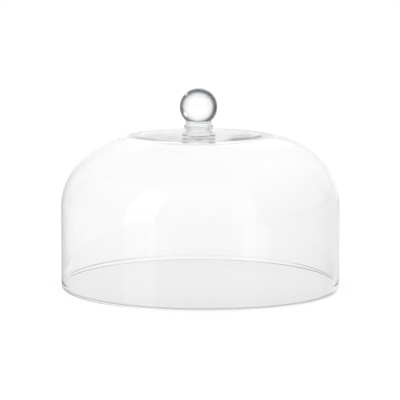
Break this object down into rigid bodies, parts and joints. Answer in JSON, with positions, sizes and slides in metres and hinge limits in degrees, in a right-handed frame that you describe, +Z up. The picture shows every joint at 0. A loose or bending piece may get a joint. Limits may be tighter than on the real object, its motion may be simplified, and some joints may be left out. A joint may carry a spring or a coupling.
{
  "type": "glass dome",
  "caption": "Clear blown-glass dome with straight wall, rounded shoulder, dished crown and a solid glass ball knob on a ringed neck; covers cake or cheese on a plate or board.",
  "frame": {"origin": "centre of the rim's circle, on the surface that the dome stands on", "axes": "+Z up along the axis of the bell and the knob; X and Y are alike, because the dome is round"},
  "size_m": [0.3, 0.3, 0.2125],
  "materials": {
    "bell_glass": "clear soda-lime glass, blown, fire-polished",
    "knob_glass": "clear solid soda-lime glass, fire-polished"
  },
  "bodies": {
    "root": {"glass_bell": "bell_glass", "knob_foot": "knob_glass", "knob_collar": "knob_glass", "ball_knob": "knob_glass"}
  },
  "joints": []
}
